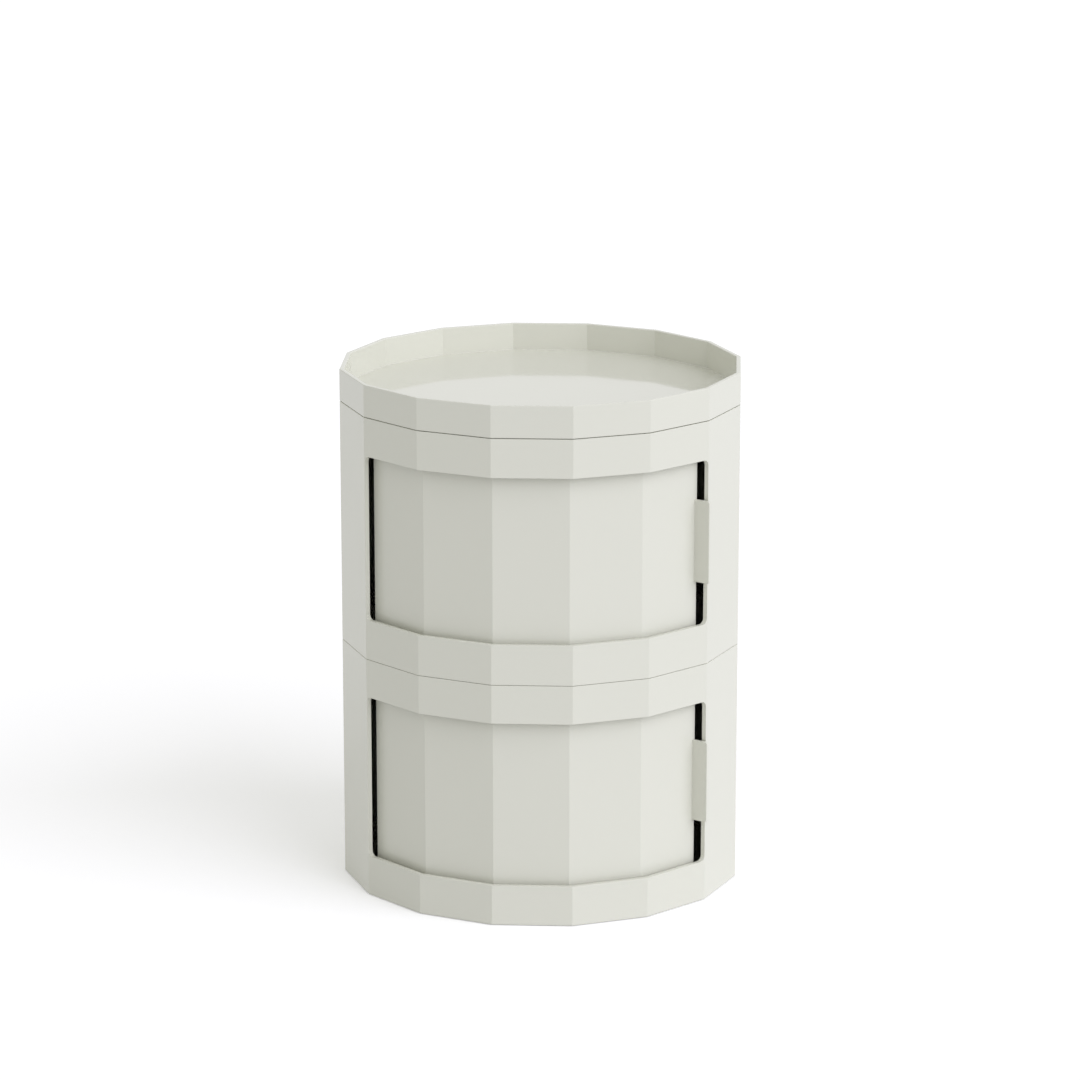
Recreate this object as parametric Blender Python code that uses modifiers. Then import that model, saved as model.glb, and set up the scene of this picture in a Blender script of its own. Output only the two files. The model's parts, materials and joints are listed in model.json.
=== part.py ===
"""Side cabinet: two stacked sixteen-sided modules with sliding doors, under a tray lid.

Metres, +Z up, front towards -Y. The origin is on the ground, on the axis of the drum. Every faceted
piece is given by its section through the middle of a side, and its corners follow from that. Angles
are measured from the front, positive towards +X.
"""

import math

import bmesh
import bpy
from mathutils import Matrix, Vector

# Faceted drum
SIDES = 16                    # flat sides of every shell, ring, floor and of the lid
OPEN_SIDES = 5                # sides that the front opening and the door span
CORNER_RADIUS = 0.190         # axis to an outer corner of the drum
WALL = 0.0043                 # shell wall
EDGE_RADIUS = 0.0006          # rounding of moulded edges

# Module, seam to seam
MODULE_HEIGHT = 0.230
MODULE_SEAM = 0.0003          # gap between the two shells
BOTTOM_BAND = 0.038           # shell below the front opening
TOP_BAND = 0.0362             # shell above the front opening
OPENING_CORNER = 0.005        # corner radius of the front opening
OPENING_EDGE = 0.0004         # rounding of the opening's edges
JAMB_SETBACK = 0.0005         # opening's side, back from the shell's corner

# Seats inside the shell for the floor and the top ring
FIT = 0.0003                  # gap between pieces that are seated on each other
FLANGE_WIDTH = 0.005
FLANGE_THICKNESS = 0.0028
BEAD_DEPTH = 0.0008           # snap bead that holds a floor or a ring against its flange
BEAD_RISE = 0.002

# Floors and top rings
FLOOR_RECESS = 0.009          # shell's bottom edge up to the floor's underside
FLOOR_THICKNESS = 0.004
RING_RECESS = 0.008           # shell's top edge down to the ring
RING_THICKNESS = 0.004
RING_LEDGE = 0.003            # ring inside its track

# Door
DOOR_CLEARANCE = 0.00255      # door's corners to the inside of the shell's sides
DOOR_WALL = 0.0035
DOOR_GAP = 0.002              # door's edges to the tracks
DOOR_SETBACK = 0.0013         # door's right end, back from the corner of its last side
DOOR_REST_TURN = -0.0075      # closed door's turn from the middle of the opening, in radians
DOOR_TRAVEL = math.radians(105)
TAB_HEIGHT = 0.078
TAB_LIFT = 0.001              # pull tab's middle above the middle of the opening
TAB_THICKNESS = 0.0027
TAB_PROUD = 0.0052            # pull tab's edge beyond the drum's corners
TAB_CORNER = 0.0025

# Round tracks and the glides that run in them
TRACK_HEIGHT = 0.005
TRACK_WALL = 0.002
GROOVE_WIDTH = 0.0066
GROOVE_BASE = 0.0005          # bottom of the groove above its floor or ring
GLIDE_INSET = 0.0048          # track's middle to the inside of the door
GLIDE_RADIUS = 0.0026
GLIDE_STEM_RADIUS = 0.0018
GLIDE_STEM_LENGTH = 0.010
BOSS_WIDTH = 0.0085
BOSS_HEIGHT = 0.016
STOP_LENGTH = 0.008
STOP_HEIGHT = 0.0035
STOP_GAP = 0.0006             # stop to the glide that meets it

# Stacking spigot, under the upper floor and under the lid
SPIGOT_CLEARANCE = 0.0005
SPIGOT_WALL = 0.003
SPIGOT_DROP = 0.002           # spigot below the ring that it locates in
SEAT_WIDTH = 0.005

# Tray lid
LID_HEIGHT = 0.0305
LID_SEAM = 0.0006             # shadow gap under the lid
RIM_WALL = 0.0044
RIM_EDGE = 0.0008
TRAY_FLOOR = 0.004
TRAY_FILLET = 0.0004

# Base ribs and feet
RIBS = 12
RIB_THICKNESS = 0.002
RIB_HEIGHT = 0.0045
HUB_RADIUS = 0.024
HUB_HEIGHT = 0.005
FEET = 6
FOOT_PROUD = 0.0005           # feet below the shell's bottom edge
FOOT_RADIUS = 0.013
FOOT_HEIGHT = 0.004
FOOT_STEM_RADIUS = 0.008
FOOT_INSET = 0.018            # track's middle to a foot's middle
COLLAR_WALL = 0.002

# Roundness of turned pieces and of edges
TRACK_STEPS = 48
SMALL_STEPS = 12
ARC_STEPS = 2
CORNER_STEPS = 4
SINK = 0.001                  # overlap of forms that are joined into one piece
SMOOTH_ANGLE = math.radians(40)

# Worked out from the sizes above
SIDE_ANGLE = 2 * math.pi / SIDES
FLATNESS = math.cos(math.pi / SIDES)          # middle of a side, as a share of the corner radius
OUTER_FLAT = CORNER_RADIUS * FLATNESS
INNER_FLAT = OUTER_FLAT - WALL
SHELL_TOP = MODULE_HEIGHT - MODULE_SEAM
OPENING_TOP = SHELL_TOP - TOP_BAND
OPENING_HALF_ANGLE = OPEN_SIDES * SIDE_ANGLE / 2
FLOOR_TOP = FLOOR_RECESS + FLOOR_THICKNESS
RING_TOP = SHELL_TOP - RING_RECESS
RING_UNDERSIDE = RING_TOP - RING_THICKNESS
SEATED_FLAT = INNER_FLAT - FIT                # rims of floors and rings

DOOR_CORNER = INNER_FLAT - DOOR_CLEARANCE
DOOR_FLAT = DOOR_CORNER * FLATNESS
DOOR_INNER_FLAT = DOOR_FLAT - DOOR_WALL
DOOR_BOTTOM = FLOOR_TOP + TRACK_HEIGHT + DOOR_GAP
DOOR_TOP = RING_UNDERSIDE - TRACK_HEIGHT - DOOR_GAP
TAB_MIDDLE = (BOTTOM_BAND + OPENING_TOP) / 2 + TAB_LIFT
GLIDE_ANGLE = (OPEN_SIDES - 1) * SIDE_ANGLE / 2

TRACK_RADIUS = DOOR_INNER_FLAT - GLIDE_INSET
TRACK_OUTER = TRACK_RADIUS + GROOVE_WIDTH / 2 + TRACK_WALL
TRACK_INNER = TRACK_RADIUS - GROOVE_WIDTH / 2 - TRACK_WALL
RING_INNER_FLAT = TRACK_INNER - RING_LEDGE
SEAT_LEVEL = -MODULE_SEAM - RING_RECESS + FIT   # of what stacks on a module, from the seam above it
SPIGOT_FLAT = RING_INNER_FLAT - SPIGOT_CLEARANCE
SPIGOT_LEVEL = -MODULE_SEAM - RING_RECESS - RING_THICKNESS - SPIGOT_DROP

LOWER_BASE = FOOT_PROUD
UPPER_BASE = LOWER_BASE + MODULE_HEIGHT
LID_BASE = UPPER_BASE + MODULE_HEIGHT
LID_UNDERSIDE = LID_SEAM - MODULE_SEAM
FOOT_CIRCLE = TRACK_RADIUS - FOOT_INSET

# Colours of the moulded plastic, the glides and the rubber, with their roughness
PALE_PLASTIC = ((0.66, 0.665, 0.60), 0.32)
WHITE_NYLON = ((0.80, 0.80, 0.77), 0.45)
GREY_RUBBER = ((0.16, 0.16, 0.155), 0.75)


def clear_scene():
    for item in list(bpy.data.objects):
        bpy.data.objects.remove(item, do_unlink=True)


def new_collection(name):
    group = bpy.data.collections.new(name)
    bpy.context.scene.collection.children.link(group)
    return group


clear_scene()
CABINET = new_collection("side_cabinet")
CUTTERS = new_collection("cutters")


def paint(piece, finish):
    """Give a piece its own material."""
    colour, roughness = finish
    material = bpy.data.materials.new(piece.name)
    material.use_nodes = True
    shader = material.node_tree.nodes["Principled BSDF"]
    shader.inputs["Base Color"].default_value = (*colour, 1.0)
    shader.inputs["Roughness"].default_value = roughness
    shader.inputs["Metallic"].default_value = 0.0
    piece.data.materials.clear()
    piece.data.materials.append(material)


def new_piece(name, mesh, group, parent, turn=0.0):
    """Object of a mesh, hidden and drawn as wire if it only shapes other pieces."""
    piece = bpy.data.objects.new(name, mesh)
    group.objects.link(piece)
    piece.parent = parent
    piece.rotation_euler.z = turn
    if group is CUTTERS:
        piece.hide_render = True
        piece.display_type = "WIRE"
    return piece


def new_frame(name, height, parent=None, turn=0.0):
    """Empty on the cabinet's axis that carries a module, a door or the lid."""
    frame = bpy.data.objects.new(name, None)
    CABINET.objects.link(frame)
    frame.parent = parent
    frame.location.z = height
    frame.rotation_euler.z = turn
    return frame


def rounded(corners):
    """Outline through (distance, height, radius) corners, with an arc where the radius isn't 0."""
    points = []
    for index, (distance, height, radius) in enumerate(corners):
        here = Vector((distance, height))
        if radius == 0:
            points.append(here)
            continue
        before = (Vector(corners[index - 1][:2]) - here).normalized()
        after = (Vector(corners[(index + 1) % len(corners)][:2]) - here).normalized()
        half_angle = before.angle(after) / 2
        centre = here + (before + after).normalized() * radius / math.sin(half_angle)
        start = here + before * radius / math.tan(half_angle) - centre
        end = here + after * radius / math.tan(half_angle) - centre
        for step in range(ARC_STEPS + 1):
            points.append(centre + start.slerp(end, step / ARC_STEPS) * radius)
    return points


def turned(name, outline, steps, group, parent, turn=0.0):
    """Outline of (radius, height) points turned about Z; it is closed unless it ends on the axis."""
    edges = [(index, index + 1) for index in range(len(outline) - 1)]
    if outline[0][0] > 0:
        edges.append((len(outline) - 1, 0))
    mesh = bpy.data.meshes.new(name)
    mesh.from_pydata([(radius, 0.0, height) for radius, height in outline], edges, [])
    piece = new_piece(name, mesh, group, parent, turn)
    screw = piece.modifiers.new("turn", "SCREW")
    screw.angle = 2 * math.pi
    screw.steps = steps
    screw.render_steps = steps
    screw.use_merge_vertices = True
    screw.merge_threshold = 0.00001
    screw.use_smooth_shade = False
    return piece


def faceted(name, section, group, parent):
    """Section through the middle of a side, carried round all the sides, one of them at the front."""
    outline = [(flat / FLATNESS, height) for flat, height in section]
    return turned(name, outline, SIDES, group, parent, SIDE_ANGLE / 2)


def block(name, low, high, group, parent, turn=0.0):
    """Box between two corners, built at the front and turned about the axis to its place."""
    size = [top - bottom for bottom, top in zip(low, high)]
    middle = [(top + bottom) / 2 for bottom, top in zip(low, high)]
    form = bmesh.new()
    placing = Matrix.Translation(middle) @ Matrix.Diagonal((*size, 1.0))
    bmesh.ops.create_cube(form, size=1.0, matrix=placing)
    mesh = bpy.data.meshes.new(name)
    form.to_mesh(mesh)
    form.free()
    return new_piece(name, mesh, group, parent, turn)


def round_edges(piece, chosen, radius, steps):
    """Round the edges of a piece's own mesh that the chosen function picks."""
    form = bmesh.new()
    form.from_mesh(piece.data)
    edges = [edge for edge in form.edges if chosen(edge)]
    bmesh.ops.bevel(form, geom=edges, offset=radius, offset_type="OFFSET", segments=steps,
                    profile=0.5, affect="EDGES", clamp_overlap=True)
    form.to_mesh(piece.data)
    form.free()


def is_sharp(edge):
    return edge.calc_face_angle(0.0) > math.radians(60)


def join(piece, other, operation):
    """Cut another form from a piece, or fuse it on, exactly."""
    boolean = piece.modifiers.new(other.name, "BOOLEAN")
    boolean.operation = operation
    boolean.solver = "EXACT"
    boolean.object = other


def settle(piece):
    """Make the shape that the modifiers give the piece's own mesh."""
    bpy.context.view_layer.update()
    graph = bpy.context.evaluated_depsgraph_get()
    mesh = bpy.data.meshes.new_from_object(piece.evaluated_get(graph))
    piece.modifiers.clear()
    piece.data = mesh


def sector(name, inner, outer, bottom, top, half_angle, group, parent):
    """Slab bent in flat steps, one for each side of the opening, about the axis."""
    form = bmesh.new()
    start = Matrix.Rotation(-half_angle, 3, "Z")
    ends = [(inner, bottom), (outer, bottom), (outer, top), (inner, top)]
    face = form.faces.new([form.verts.new(start @ Vector((0.0, -radius, height))) for radius, height in ends])
    bmesh.ops.spin(form, geom=[face, *face.edges, *face.verts], axis=(0.0, 0.0, 1.0), cent=(0.0, 0.0, 0.0),
                   angle=2 * half_angle, steps=OPEN_SIDES, use_duplicate=False)
    bmesh.ops.recalc_face_normals(form, faces=form.faces)
    mesh = bpy.data.meshes.new(name)
    form.to_mesh(mesh)
    form.free()
    return new_piece(name, mesh, group, parent)


def front_angle(point):
    return math.atan2(point.x, -point.y)


# Shells

def shell_section():
    floor_seat = FLOOR_TOP + FIT
    floor_bead = FLOOR_RECESS - FIT
    ring_seat = RING_UNDERSIDE - FIT
    ring_bead = RING_TOP + FIT
    flange = INNER_FLAT - FLANGE_WIDTH
    bead = INNER_FLAT - BEAD_DEPTH
    return rounded([
        (OUTER_FLAT, SHELL_TOP, EDGE_RADIUS),
        (OUTER_FLAT, 0.0, EDGE_RADIUS),
        (INNER_FLAT, 0.0, EDGE_RADIUS),
        (INNER_FLAT, floor_bead - BEAD_RISE, 0),
        (bead, floor_bead, 0),
        (INNER_FLAT, floor_bead, 0),
        (INNER_FLAT, floor_seat, 0),
        (flange, floor_seat, 0),
        (flange, floor_seat + FLANGE_THICKNESS, 0),
        (INNER_FLAT, floor_seat + FLANGE_THICKNESS, 0),
        (INNER_FLAT, ring_seat - FLANGE_THICKNESS, 0),
        (flange, ring_seat - FLANGE_THICKNESS, 0),
        (flange, ring_seat, 0),
        (INNER_FLAT, ring_seat, 0),
        (INNER_FLAT, ring_bead, 0),
        (bead, ring_bead, 0),
        (INNER_FLAT, ring_bead + BEAD_RISE, 0),
        (INNER_FLAT, SHELL_TOP, EDGE_RADIUS),
    ])


def opening_cutter(name, parent):
    """Front opening, with rounded corners, cut square to the shell from side to side."""
    half_angle = OPENING_HALF_ANGLE - JAMB_SETBACK / CORNER_RADIUS
    inner = DOOR_INNER_FLAT
    outer = CORNER_RADIUS + WALL
    cutter = sector(name, inner, outer, BOTTOM_BAND, OPENING_TOP, half_angle, CUTTERS, parent)

    def corner_of_opening(edge):
        level = abs(edge.verts[0].co.z - edge.verts[1].co.z) < WALL
        angles = [abs(front_angle(vert.co)) for vert in edge.verts]
        return level and min(angles) > half_angle - SIDE_ANGLE / 2

    round_edges(cutter, corner_of_opening, OPENING_CORNER, CORNER_STEPS)
    return cutter


def make_shell(prefix, parent):
    shell = faceted(f"{prefix}_shell", shell_section(), CABINET, parent)
    join(shell, opening_cutter(f"{prefix}_opening_cutter", parent), "DIFFERENCE")
    settle(shell)

    def borders_opening(edge):
        low = BOTTOM_BAND - EDGE_RADIUS
        high = OPENING_TOP + EDGE_RADIUS
        return is_sharp(edge) and all(low < vert.co.z < high for vert in edge.verts)

    round_edges(shell, borders_opening, OPENING_EDGE, ARC_STEPS)
    paint(shell, PALE_PLASTIC)


# Floors and top rings

def track_outline(face, direction):
    """Round channel that stands on a face, up (1) or down (-1), sunk a little into it."""
    top = face + direction * TRACK_HEIGHT
    base = face + direction * GROOVE_BASE
    sunk = face - direction * SINK
    outline = [
        (TRACK_RADIUS + GROOVE_WIDTH / 2, top),
        (TRACK_OUTER, top),
        (TRACK_OUTER, sunk),
        (TRACK_INNER, sunk),
        (TRACK_INNER, top),
        (TRACK_RADIUS - GROOVE_WIDTH / 2, top),
        (TRACK_RADIUS - GROOVE_WIDTH / 2, base),
        (TRACK_RADIUS + GROOVE_WIDTH / 2, base),
    ]
    return outline if direction > 0 else outline[::-1]


def add_track(piece, face, direction, parent):
    track = turned(f"{piece.name}_track", track_outline(face, direction), TRACK_STEPS, CUTTERS, parent)
    join(piece, track, "UNION")


def add_base_ribs(floor, parent):
    """Hub ring and spokes under the base floor."""
    low = FLOOR_RECESS - RIB_HEIGHT
    high = FLOOR_RECESS + SINK
    hub_low = FLOOR_RECESS - HUB_HEIGHT
    hub = turned("base_hub", [
        (HUB_RADIUS, high),
        (HUB_RADIUS, hub_low),
        (HUB_RADIUS - RIB_THICKNESS, hub_low),
        (HUB_RADIUS - RIB_THICKNESS, high),
    ], 2 * SMALL_STEPS, CUTTERS, parent)
    join(floor, hub, "UNION")
    for index in range(RIBS):
        rib = block(f"base_rib_{index + 1}",
                    (-RIB_THICKNESS / 2, -TRACK_OUTER, low),
                    (RIB_THICKNESS / 2, -HUB_RADIUS + RIB_THICKNESS / 2, high),
                    CUTTERS, parent, index * 2 * math.pi / RIBS)
        join(floor, rib, "UNION")


def foot_place(index):
    """Middle of a foot, between two ribs."""
    angle = (index + 0.5 * FEET / RIBS) * 2 * math.pi / FEET
    return Vector((FOOT_CIRCLE * math.sin(angle), -FOOT_CIRCLE * math.cos(angle), 0.0))


def add_foot_collars(floor, parent):
    """Round sockets under the base floor that hold the feet's stems."""
    inner = FOOT_STEM_RADIUS + FIT
    low = FOOT_HEIGHT - FOOT_PROUD + FIT
    high = FLOOR_RECESS + SINK
    for index in range(FEET):
        collar = turned(f"base_collar_{index + 1}", [
            (inner + COLLAR_WALL, high),
            (inner + COLLAR_WALL, low),
            (inner, low),
            (inner, high),
        ], SMALL_STEPS, CUTTERS, parent)
        collar.location = foot_place(index)
        join(floor, collar, "UNION")


def make_base_floor(parent):
    floor = faceted("base_floor", [
        (0.0, FLOOR_TOP),
        (SEATED_FLAT, FLOOR_TOP),
        (SEATED_FLAT, FLOOR_RECESS),
        (0.0, FLOOR_RECESS),
    ], CABINET, parent)
    add_track(floor, FLOOR_TOP, 1, parent)
    add_base_ribs(floor, parent)
    add_foot_collars(floor, parent)
    settle(floor)
    paint(floor, PALE_PLASTIC)


def spigot_section(underside):
    """Stepped rib under a plate: it seats on the ring below and drops through it."""
    seat = RING_INNER_FLAT + SEAT_WIDTH
    return [
        (seat, underside),
        (seat, SEAT_LEVEL),
        (SPIGOT_FLAT, SEAT_LEVEL),
        (SPIGOT_FLAT, SPIGOT_LEVEL),
        (SPIGOT_FLAT - SPIGOT_WALL, SPIGOT_LEVEL),
        (SPIGOT_FLAT - SPIGOT_WALL, underside),
        (0.0, underside),
    ]


def make_upper_floor(parent):
    floor = faceted("upper_floor", [
        (0.0, FLOOR_TOP),
        (SEATED_FLAT, FLOOR_TOP),
        (SEATED_FLAT, FLOOR_RECESS),
        *spigot_section(FLOOR_RECESS),
    ], CABINET, parent)
    add_track(floor, FLOOR_TOP, 1, parent)
    settle(floor)
    paint(floor, PALE_PLASTIC)


def make_top_ring(prefix, parent):
    ring = faceted(f"{prefix}_top_ring", [
        (SEATED_FLAT, RING_TOP),
        (SEATED_FLAT, RING_UNDERSIDE),
        (RING_INNER_FLAT, RING_UNDERSIDE),
        (RING_INNER_FLAT, RING_TOP),
    ], CABINET, parent)
    add_track(ring, RING_UNDERSIDE, -1, parent)
    settle(ring)
    paint(ring, PALE_PLASTIC)


# Doors

def on_track(angle):
    return Vector((TRACK_RADIUS * math.sin(angle), -TRACK_RADIUS * math.cos(angle), 0.0))


def glide_points(level):
    """Left and right glides of a door's top (1) or bottom (-1) edge, with their names and angles."""
    edge = "top" if level > 0 else "bottom"
    return [(f"{edge}_left", -GLIDE_ANGLE), (f"{edge}_right", GLIDE_ANGLE)]


def glide_outline(level, clearance):
    """Pin with its stem in the door's boss and its head in the track, from top to bottom."""
    edge = DOOR_TOP if level > 0 else DOOR_BOTTOM
    face = RING_UNDERSIDE if level > 0 else FLOOR_TOP
    stem_end = edge - level * (GLIDE_STEM_LENGTH + clearance)
    shoulder = edge + level * FIT
    head_end = face - level * (GROOVE_BASE + FIT)
    chamfer = GLIDE_RADIUS - GLIDE_STEM_RADIUS
    outline = [
        (0.0, stem_end),
        (GLIDE_STEM_RADIUS + clearance, stem_end),
        (GLIDE_STEM_RADIUS + clearance, shoulder),
        (GLIDE_RADIUS, shoulder),
        (GLIDE_RADIUS, head_end - level * chamfer),
        (GLIDE_STEM_RADIUS, head_end),
        (0.0, head_end),
    ]
    return outline[::-1] if level > 0 else outline


def boss_block(name, level, angle, pivot):
    """Boss at the door's top (1) or bottom (-1) edge, D-shaped: its inner uprights are rounded."""
    edge = DOOR_TOP if level > 0 else DOOR_BOTTOM
    low, high = sorted((edge, edge - level * BOSS_HEIGHT))
    boss = block(name,
                 (-BOSS_WIDTH / 2, -DOOR_INNER_FLAT - SINK, low),
                 (BOSS_WIDTH / 2, -TRACK_RADIUS + BOSS_WIDTH / 2, high),
                 CUTTERS, pivot, angle)

    def inner_upright(side):
        upright = abs(side.verts[0].co.z - side.verts[1].co.z) > FIT
        return upright and all(vert.co.y > -TRACK_RADIUS for vert in side.verts)

    round_edges(boss, inner_upright, BOSS_WIDTH / 2 - FIT, CORNER_STEPS)
    return boss


def add_bosses(door, prefix, pivot):
    """Bosses inside the door, bored for the glides' stems."""
    for level in (-1, 1):
        for place, angle in glide_points(level):
            boss = boss_block(f"{prefix}_boss_{place}", level, angle, pivot)
            join(door, boss, "UNION")
            bore = turned(f"{prefix}_bore_{place}", glide_outline(level, FIT), SMALL_STEPS, CUTTERS, pivot)
            bore.location = on_track(angle)
            join(door, bore, "DIFFERENCE")


def set_end_back(door):
    """Move the door's right end back along its last side."""
    back = Matrix.Rotation(GLIDE_ANGLE, 3, "Z") @ Vector((-DOOR_SETBACK, 0.0, 0.0))
    for vert in door.data.vertices:
        if front_angle(vert.co) > GLIDE_ANGLE:
            vert.co += back


def add_tab(door, prefix, pivot):
    """Pull tab, square to the door at its right end, with rounded outer corners."""
    right = -DOOR_SETBACK * math.cos(SIDE_ANGLE / 2) - EDGE_RADIUS
    reach = CORNER_RADIUS + TAB_PROUD
    tab = block(f"{prefix}_tab",
                (right - TAB_THICKNESS, -reach, TAB_MIDDLE - TAB_HEIGHT / 2),
                (right, -DOOR_CORNER + DOOR_WALL / 2, TAB_MIDDLE + TAB_HEIGHT / 2),
                CUTTERS, pivot, OPENING_HALF_ANGLE)

    def outer_corner(edge):
        across = abs(edge.verts[0].co.x - edge.verts[1].co.x) > FIT
        return across and all(vert.co.y < -CORNER_RADIUS for vert in edge.verts)

    round_edges(tab, outer_corner, TAB_CORNER, CORNER_STEPS)
    round_edges(tab, is_sharp, EDGE_RADIUS, ARC_STEPS)
    join(door, tab, "UNION")


def make_door(prefix, parent):
    """Door panel with its tab, bosses and glides, on a pivot at the cabinet's axis."""
    pivot = new_frame(f"{prefix}_door_pivot", 0.0, parent, DOOR_REST_TURN)
    inner_corner = DOOR_INNER_FLAT / FLATNESS
    door = sector(f"{prefix}_door", inner_corner, DOOR_CORNER, DOOR_BOTTOM, DOOR_TOP,
                  OPENING_HALF_ANGLE, CABINET, pivot)
    set_end_back(door)
    round_edges(door, is_sharp, EDGE_RADIUS, ARC_STEPS)
    add_tab(door, prefix, pivot)
    add_bosses(door, prefix, pivot)
    settle(door)
    paint(door, PALE_PLASTIC)
    for level in (-1, 1):
        for place, angle in glide_points(level):
            glide = turned(f"{prefix}_glide_{place}", glide_outline(level, 0.0), SMALL_STEPS, CABINET, pivot)
            glide.location = on_track(angle)
            shade_round(glide)
            paint(glide, WHITE_NYLON)


def shade_round(piece):
    settle(piece)
    piece.data.shade_smooth()
    piece.data.set_sharp_from_angle(angle=SMOOTH_ANGLE)


# Stops and feet

def make_stops(prefix, parent):
    """Rubber stops in the floor's track, where the door's bottom glides meet them at each end."""
    half_width = GROOVE_WIDTH / 2 * math.cos(math.pi / TRACK_STEPS) - FIT
    bottom = FLOOR_TOP + GROOVE_BASE + FIT
    reach = (GLIDE_RADIUS + STOP_GAP + STOP_LENGTH / 2) / TRACK_RADIUS
    places = {
        "closed": DOOR_REST_TURN + GLIDE_ANGLE + reach,
        "open": DOOR_REST_TURN - GLIDE_ANGLE - DOOR_TRAVEL - reach,
    }
    sag = TRACK_RADIUS * (1 - math.cos(STOP_LENGTH / 2 / TRACK_RADIUS + math.pi / TRACK_STEPS))
    for place, angle in places.items():
        stop = block(f"{prefix}_stop_{place}",
                     (-STOP_LENGTH / 2, -TRACK_RADIUS - half_width + sag, bottom),
                     (STOP_LENGTH / 2, -TRACK_RADIUS + half_width - sag, bottom + STOP_HEIGHT),
                     CABINET, parent, angle)
        round_edges(stop, is_sharp, EDGE_RADIUS, ARC_STEPS)
        paint(stop, GREY_RUBBER)


def make_feet(parent):
    """Rubber feet, their stems in the base floor's collars."""
    disc_top = FOOT_HEIGHT - FOOT_PROUD
    stem_top = FLOOR_RECESS - FIT
    for index in range(FEET):
        foot = turned(f"foot_{index + 1}", [
            (0.0, stem_top),
            (FOOT_STEM_RADIUS, stem_top),
            (FOOT_STEM_RADIUS, disc_top),
            (FOOT_RADIUS, disc_top),
            (FOOT_RADIUS, -FOOT_PROUD + EDGE_RADIUS),
            (FOOT_RADIUS - EDGE_RADIUS, -FOOT_PROUD),
            (0.0, -FOOT_PROUD),
        ], SMALL_STEPS, CABINET, parent)
        foot.location = foot_place(index)
        shade_round(foot)
        paint(foot, GREY_RUBBER)


# Tray lid

def make_lid():
    frame = new_frame("lid_frame", LID_BASE)
    tray_top = LID_UNDERSIDE + TRAY_FLOOR
    rim_inner = OUTER_FLAT - RIM_WALL
    section = rounded([
        (0.0, tray_top, 0),
        (rim_inner, tray_top, TRAY_FILLET),
        (rim_inner, LID_HEIGHT, RIM_EDGE),
        (OUTER_FLAT, LID_HEIGHT, RIM_EDGE),
        (OUTER_FLAT, LID_UNDERSIDE, EDGE_RADIUS),
        *[(flat, height, 0) for flat, height in spigot_section(LID_UNDERSIDE)],
    ])
    lid = faceted("tray_lid", section, CABINET, frame)
    settle(lid)
    paint(lid, PALE_PLASTIC)


# Assembly

def make_module(prefix, base):
    frame = new_frame(f"{prefix}_module", base)
    make_shell(prefix, frame)
    make_top_ring(prefix, frame)
    make_door(prefix, frame)
    make_stops(prefix, frame)
    return frame


lower = make_module("lower", LOWER_BASE)
make_base_floor(lower)
make_feet(lower)
upper = make_module("upper", UPPER_BASE)
make_upper_floor(upper)
make_lid()
bpy.context.view_layer.update()
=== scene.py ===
"""Looks of the side cabinet: moulded plastic, nylon and rubber, a pale floor, soft light and a camera.

Metres, +Z up, front towards -Y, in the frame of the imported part.
"""

import json
import math

import bpy
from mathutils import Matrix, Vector

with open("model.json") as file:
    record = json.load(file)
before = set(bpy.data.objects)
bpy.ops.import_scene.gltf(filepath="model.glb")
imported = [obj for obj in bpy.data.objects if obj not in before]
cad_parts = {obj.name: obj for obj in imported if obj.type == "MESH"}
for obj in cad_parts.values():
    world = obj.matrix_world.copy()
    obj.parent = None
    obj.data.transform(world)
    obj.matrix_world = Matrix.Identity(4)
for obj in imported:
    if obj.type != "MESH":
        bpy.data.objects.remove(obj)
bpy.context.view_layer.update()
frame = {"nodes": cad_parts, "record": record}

# Camera, seen from the front and a little above
CAMERA_AZIMUTH = math.radians(2.66)
CAMERA_ELEVATION = math.radians(14.42)
CAMERA_DISTANCE = 3.990
CAMERA_LENS = 140.66              # in millimetres, as the sensor is
SENSOR_WIDTH = 36.0
AIM_HEIGHT = 0.3194               # of the point that the camera looks at
AIM_ASIDE = -0.0014               # from the drum's axis towards the right of the picture

# Light: a soft key from the right front and an even fill all round
KEY_AZIMUTH = math.radians(55)
KEY_ELEVATION = math.radians(30)
KEY_SOFTNESS = math.radians(60)   # angle that the key spans in the sky
KEY_LEVEL = 0.50                  # brightness of a white surface that faces the key
KEY_COLOUR = (0.99, 0.985, 1.11)
FILL_LEVEL = 0.61                 # brightness of a white surface in the fill alone
FILL_COLOUR = (1.0, 1.0, 0.98, 1.0)
BACKGROUND_LEVEL = 1.0            # brightness of the fill where it is seen
WHITE = (1.0, 1.0, 1.0, 1.0)

# Floor
FLOOR_SIZE = 40.0
FLOOR_ROUGHNESS = 1.0
FLOOR_SPECULAR = 0.0
FLOOR_COLOUR = 0.74               # as it lights the object
FLOOR_SHADE = 1.00                # as it is seen, without the lift that makes it white
FLOOR_LIFT = 0.20                 # glow that shows to the camera and in gloss or glass alone

# Unevenness that all surfaces share
NOISE_SPAN = (0.3, 0.7)           # where nearly all values of a noise lie
NOISE_DETAIL = 1.0
COLOUR_DRIFT = 0.005              # share by which a colour drifts over the surface
DRIFT_SIZE = 0.200                # about how wide the patches of a colour are
ROUGHNESS_SIZE = 0.060            # about how wide the patches of a roughness are
EDGE_SOFTNESS = 0.0003            # radius to which sharp edges are softened

# Moulded plastic
PLASTIC = (0.737, 0.740, 0.651)
SHELL_ROUGHNESS = (0.16, 0.22)
LID_ROUGHNESS = (0.05, 0.08)
PEEL_SIZE = 0.0060                # waviness of the moulded skin
PEEL_DEPTH = 0.000003             # also that of the nylon's grain

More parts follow.
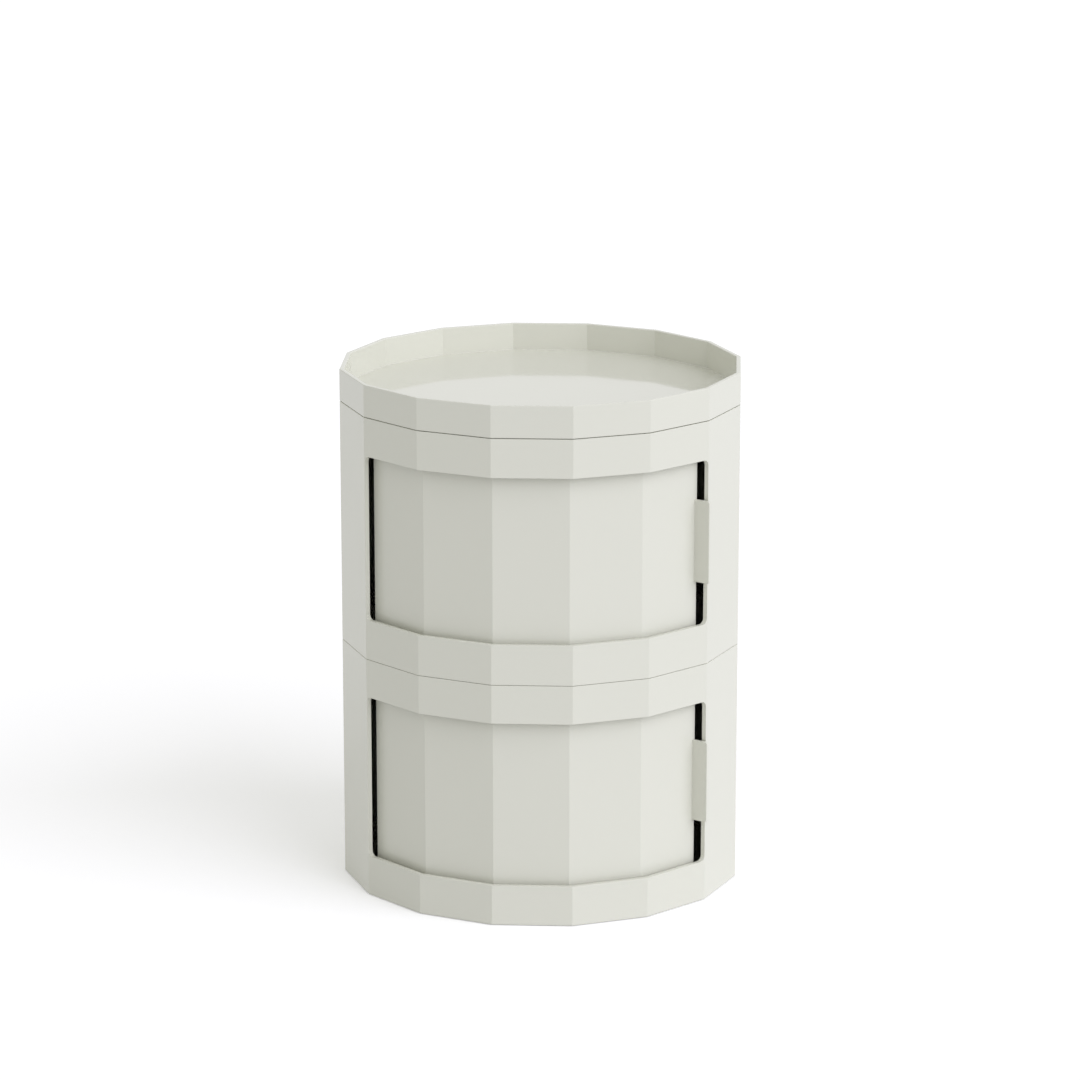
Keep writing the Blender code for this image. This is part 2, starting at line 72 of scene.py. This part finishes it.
# Nylon and rubber
NYLON = (0.80, 0.80, 0.77)
NYLON_ROUGHNESS = (0.38, 0.50)
RUBBER = (0.045, 0.045, 0.044)
RUBBER_ROUGHNESS = (0.65, 0.85)
GRAIN_SIZE = 0.0008
GRAIN_DEPTH = 0.00004


def new_material(name):
    """Material made of nodes, with its tree of nodes and its shader."""
    material = bpy.data.materials.new(name)
    material.use_nodes = True
    tree = material.node_tree
    return material, tree, tree.nodes["Principled BSDF"]


def noise(tree, place, size):
    """Noise over the surface whose patches are about one size across."""
    texture = tree.nodes.new("ShaderNodeTexNoise")
    texture.inputs["Scale"].default_value = 1.0 / size
    texture.inputs["Detail"].default_value = NOISE_DETAIL
    tree.links.new(place, texture.inputs["Vector"])
    return texture.outputs["Fac"]


def ranging(tree, share, low, high, share_low=0.0, share_high=1.0):
    """Number that runs from low to high as a share does."""
    span = tree.nodes.new("ShaderNodeMapRange")
    span.inputs["From Min"].default_value = share_low
    span.inputs["From Max"].default_value = share_high
    span.inputs["To Min"].default_value = low
    span.inputs["To Max"].default_value = high
    tree.links.new(share, span.inputs["Value"])
    return span.outputs["Result"]


def between(tree, share, low, high):
    """Number that runs from low to high as a noise does, whose values bunch about the middle."""
    return ranging(tree, share, low, high, *NOISE_SPAN)


def drifting(tree, share, colour):
    """Colour that gets a little lighter and darker as a noise does."""
    mix = tree.nodes.new("ShaderNodeMix")
    mix.data_type = "RGBA"
    mix.inputs["A"].default_value = (*[channel * (1 - COLOUR_DRIFT) for channel in colour], 1.0)
    mix.inputs["B"].default_value = (*[channel * (1 + COLOUR_DRIFT) for channel in colour], 1.0)
    tree.links.new(between(tree, share, 0.0, 1.0), mix.inputs["Factor"])
    return mix.outputs["Result"]


def skin(tree, height, depth):
    """Normal of a surface with a fine relief and with its edges softened."""
    edge = tree.nodes.new("ShaderNodeBevel")
    edge.inputs["Radius"].default_value = EDGE_SOFTNESS
    relief = tree.nodes.new("ShaderNodeBump")
    relief.inputs["Distance"].default_value = depth
    tree.links.new(height, relief.inputs["Height"])
    tree.links.new(edge.outputs["Normal"], relief.inputs["Normal"])
    return relief.outputs["Normal"]


def surface(name, colour, roughness, relief_size, relief_depth):
    """Moulded material: drifting colour, uneven gloss, a fine relief and soft edges."""
    material, tree, shader = new_material(name)
    place = tree.nodes.new("ShaderNodeTexCoord").outputs["Object"]
    patches = noise(tree, place, DRIFT_SIZE)
    gloss = noise(tree, place, ROUGHNESS_SIZE)
    height = noise(tree, place, relief_size)
    tree.links.new(drifting(tree, patches, colour), shader.inputs["Base Color"])
    tree.links.new(between(tree, gloss, *roughness), shader.inputs["Roughness"])
    tree.links.new(skin(tree, height, relief_depth), shader.inputs["Normal"])
    return material


def dress_part():
    """Give every node of the part a finish in place of its plain material."""
    shell = surface("shell_plastic_finish", PLASTIC, SHELL_ROUGHNESS, PEEL_SIZE, PEEL_DEPTH)
    lid = surface("lid_plastic_finish", PLASTIC, LID_ROUGHNESS, PEEL_SIZE, PEEL_DEPTH)
    nylon = surface("nylon_finish", NYLON, NYLON_ROUGHNESS, GRAIN_SIZE, PEEL_DEPTH)
    rubber = surface("rubber_finish", RUBBER, RUBBER_ROUGHNESS, GRAIN_SIZE, GRAIN_DEPTH)
    finishes = {
        "shell_plastic": shell,
        "door_plastic": shell,
        "lid_plastic": lid,
        "glide_nylon": nylon,
        "stop_rubber": rubber,
        "foot_rubber": rubber,
    }
    for part in frame["record"]["subparts"]:
        for slot in frame["nodes"][part["node"]].material_slots:
            slot.material = finishes[part["material_slot"]]


def seen_directly(tree):
    """1 for rays from the camera and for those that gloss or glass sends on, else 0."""
    path = tree.nodes.new("ShaderNodeLightPath")
    total = path.outputs["Is Camera Ray"]
    for kind in ("Is Glossy Ray", "Is Transmission Ray"):
        larger = tree.nodes.new("ShaderNodeMath")
        larger.operation = "MAXIMUM"
        tree.links.new(total, larger.inputs[0])
        tree.links.new(path.outputs[kind], larger.inputs[1])
        total = larger.outputs["Value"]
    return total


def make_world():
    """Even fill, white where it is seen."""
    world = bpy.data.worlds.new("fill")
    world.use_nodes = True
    tree = world.node_tree
    background = tree.nodes["Background"]
    seen = seen_directly(tree)
    tint = tree.nodes.new("ShaderNodeMix")
    tint.data_type = "RGBA"
    tint.inputs["A"].default_value = FILL_COLOUR
    tint.inputs["B"].default_value = WHITE
    tree.links.new(seen, tint.inputs["Factor"])
    tree.links.new(tint.outputs["Result"], background.inputs["Color"])
    tree.links.new(ranging(tree, seen, FILL_LEVEL, BACKGROUND_LEVEL), background.inputs["Strength"])
    bpy.context.scene.world = world


def make_floor():
    """Pale floor that is white where it is lit and keeps the shadow."""
    bpy.ops.mesh.primitive_plane_add(size=FLOOR_SIZE)
    floor = bpy.context.object
    floor.name = "floor"
    material, tree, shader = new_material("floor")
    shader.inputs["Roughness"].default_value = FLOOR_ROUGHNESS
    shader.inputs["Specular IOR Level"].default_value = FLOOR_SPECULAR
    shader.inputs["Emission Color"].default_value = WHITE
    seen = seen_directly(tree)
    tree.links.new(ranging(tree, seen, FLOOR_COLOUR, FLOOR_SHADE), shader.inputs["Base Color"])
    tree.links.new(ranging(tree, seen, 0.0, FLOOR_LIFT), shader.inputs["Emission Strength"])
    floor.data.materials.append(material)


def direction(azimuth, elevation):
    """Unit vector from the object towards a point round it; azimuth 0 is the front."""
    level = math.cos(elevation)
    return Vector((math.sin(azimuth) * level, -math.cos(azimuth) * level, math.sin(elevation)))


def make_key():
    """Far lamp that spans a wide angle; gloss shows the white all round instead of it."""
    light = bpy.data.lights.new("key", "SUN")
    light.energy = KEY_LEVEL * math.pi
    light.angle = KEY_SOFTNESS
    light.color = KEY_COLOUR
    key = bpy.data.objects.new("key", light)
    key.rotation_mode = "QUATERNION"
    key.rotation_quaternion = direction(KEY_AZIMUTH, KEY_ELEVATION).to_track_quat("Z", "Y")
    key.visible_glossy = False
    bpy.context.scene.collection.objects.link(key)


def make_camera():
    """Long lens that looks at the drum from the front and a little above."""
    lens = bpy.data.cameras.new("camera")
    lens.sensor_width = SENSOR_WIDTH
    lens.lens = CAMERA_LENS
    back = direction(CAMERA_AZIMUTH, CAMERA_ELEVATION)
    right = Vector((math.cos(CAMERA_AZIMUTH), math.sin(CAMERA_AZIMUTH), 0.0))
    camera = bpy.data.objects.new("camera", lens)
    camera.location = right * AIM_ASIDE + Vector((0.0, 0.0, AIM_HEIGHT)) + back * CAMERA_DISTANCE
    camera.rotation_mode = "QUATERNION"
    camera.rotation_quaternion = back.to_track_quat("Z", "Y")
    bpy.context.scene.collection.objects.link(camera)
    bpy.context.scene.camera = camera


bpy.context.scene.view_settings.view_transform = "Standard"
dress_part()
make_world()
make_floor()
make_key()
make_camera()
